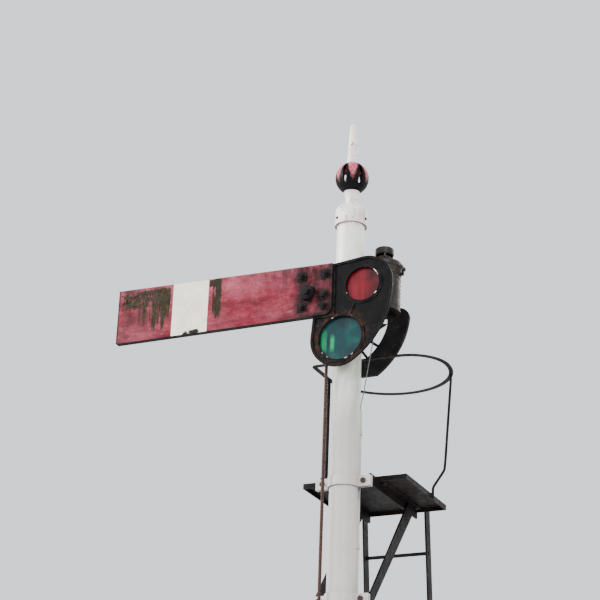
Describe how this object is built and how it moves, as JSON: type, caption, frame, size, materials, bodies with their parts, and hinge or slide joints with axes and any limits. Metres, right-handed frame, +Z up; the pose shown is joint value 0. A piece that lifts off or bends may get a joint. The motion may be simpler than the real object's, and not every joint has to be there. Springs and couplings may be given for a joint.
{
  "type": "railway semaphore signal",
  "caption": "Railway stop signal: a pivoted arm with coloured spectacle glasses on a tubular post, with lamp, down rod, balance lever, platform, hoop and ladder.",
  "frame": {"origin": "centre of the base plate's underside, on the ground, on the post's axis", "axes": "+Z up along the post; -X the way the arm points at danger; +Y away from the approaching driver"},
  "size_m": [1.672, 1.385, 5.249],
  "materials": {
    "post_paint": "weathered white gloss",
    "iron_black": "weathered black",
    "base_iron": "painted, weathered",
    "arm_enamel": "faded red paint on boards, white stripe",
    "spindle_steel": "turned, dull",
    "bolt_steel": "rusty zinc",
    "red_glass": "ruby signal glass",
    "green_glass": "blue-green signal glass",
    "clear_lens": "clear moulded",
    "lamp_paint": "heat-dulled black, rust showing",
    "brass": "tarnished",
    "bronze_bush": "bearing bronze",
    "cable": "grey sheath",
    "rod_steel": "rusted",
    "weight_iron": "painted, weathered"
  },
  "bodies": {
    "post": {"base_casting": "base_iron", "post_tube": "post_paint", "finial_cap": "post_paint", "finial_screws": "bolt_steel", "finial_ball": "iron_black", "finial_spike": "post_paint", "bearing_bracket": "iron_black", "bearing_strap": "iron_black", "spindle_bushes": "bronze_bush", "clamp_bolts": "bolt_steel", "lever_bracket": "iron_black", "lever_bracket_strap": "iron_black", "fulcrum_pin": "spindle_steel", "lamp_bracket": "iron_black", "lamp_bracket_strap": "iron_black", "lamp_case": "lamp_paint", "lamp_foot": "lamp_paint", "lens_rings": "lamp_paint", "front_lens": "clear_lens", "back_lens": "clear_lens", "lamp_font": "brass", "lamp_burner": "brass", "lid_hinge": "lamp_paint", "lead_gland": "brass", "lamp_lead": "cable", "conduit": "post_paint", "conduit_clips": "post_paint", "platform_deck": "iron_black", "platform_bearers": "iron_black", "deck_bolts": "bolt_steel", "platform_clamp_front": "post_paint", "platform_clamp_rear": "post_paint", "platform_struts": "iron_black", "lower_clamps": "post_paint", "hoop_ring": "iron_black", "stanchion_left": "iron_black", "stanchion_right": "iron_black", "ladder_stiles": "iron_black", "ladder_rungs": "iron_black", "ladder_stays": "iron_black", "wheel_bracket": "iron_black", "wheel_pin": "spindle_steel"},
    "arm": {"arm_board": "arm_enamel", "spectacle_casting": "iron_black", "arm_bolts": "bolt_steel", "spindle": "spindle_steel", "spindle_nut": "iron_black", "rod_pin": "bolt_steel", "red_glass": "red_glass", "green_glass": "green_glass", "glass_rings": "iron_black", "blinder": "iron_black"},
    "rod": {"down_rod": "rod_steel", "rod_fork": "iron_black"},
    "lever": {"balance_lever": "iron_black", "balance_weight": "weight_iron"},
    "lid": {"lamp_lid": "lamp_paint", "lamp_chimney": "lamp_paint"},
    "wheel": {"wire_wheel": "weight_iron"}
  },
  "joints": [
    {"name": "arm_pivot", "type": "hinge", "parent": "post", "child": "arm", "pos_m": [-0.158, 0, 4.25], "axis": [0, -1, 0], "range_deg": [0, 60]},
    {"name": "rod_top", "type": "hinge", "parent": "arm", "child": "rod", "pos_m": [-0.07, -0.092, 4.172], "axis": [0, -1, 0], "range_deg": [-60, 0]},
    {"name": "lever_fulcrum", "type": "hinge", "parent": "post", "child": "lever", "pos_m": [-0.158, -0.092, 1.15], "axis": [0, -1, 0], "range_deg": [0, 60]},
    {"name": "lid_hinge", "type": "hinge", "parent": "post", "child": "lid", "pos_m": [0.245, 0.105, 4.438], "axis": [0, 1, 0], "range_deg": [0, 100]},
    {"name": "wheel_turn", "type": "hinge", "parent": "post", "child": "wheel", "pos_m": [-0.25326, -0.012, 0.135], "axis": [1, 0, 0], "continuous": true}
  ],
  "couplings": [
    {"joint": "rod_top", "follows": "arm_pivot", "ratio": -1},
    {"joint": "lever_fulcrum", "follows": "arm_pivot", "ratio": 1}
  ]
}
